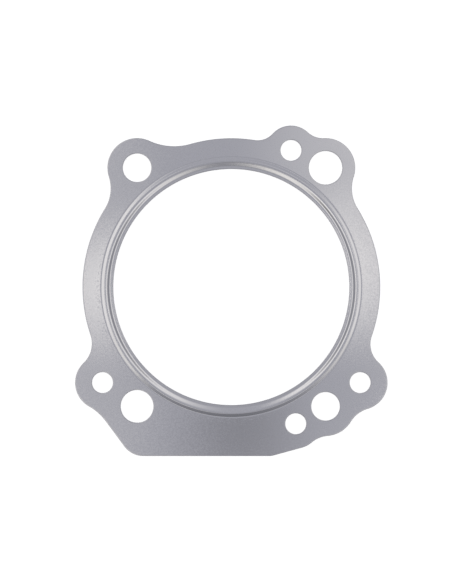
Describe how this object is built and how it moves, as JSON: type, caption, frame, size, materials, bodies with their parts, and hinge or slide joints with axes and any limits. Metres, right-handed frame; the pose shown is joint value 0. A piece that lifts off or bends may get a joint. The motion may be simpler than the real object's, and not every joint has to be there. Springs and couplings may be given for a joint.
{
  "type": "cylinder head gasket",
  "caption": "Thin steel sheet gasket with a large round bore, a raised sealing bead around it, and ears with stud, dowel and bolt holes.",
  "frame": {"origin": "centre of the cylinder bore on the plain back of the sheet, which it lies on", "axes": "+Z along the bore, out of the side with the raised bead; +Y towards the ears with the top bolt hole; +X towards the top right dowel hole"},
  "size_m": [0.1308, 0.1384, 0.0009],
  "materials": {
    "sheet_steel": "cold-rolled, satin, with a fine even grain"
  },
  "bodies": {
    "root": {"gasket_sheet": "sheet_steel"}
  },
  "joints": []
}
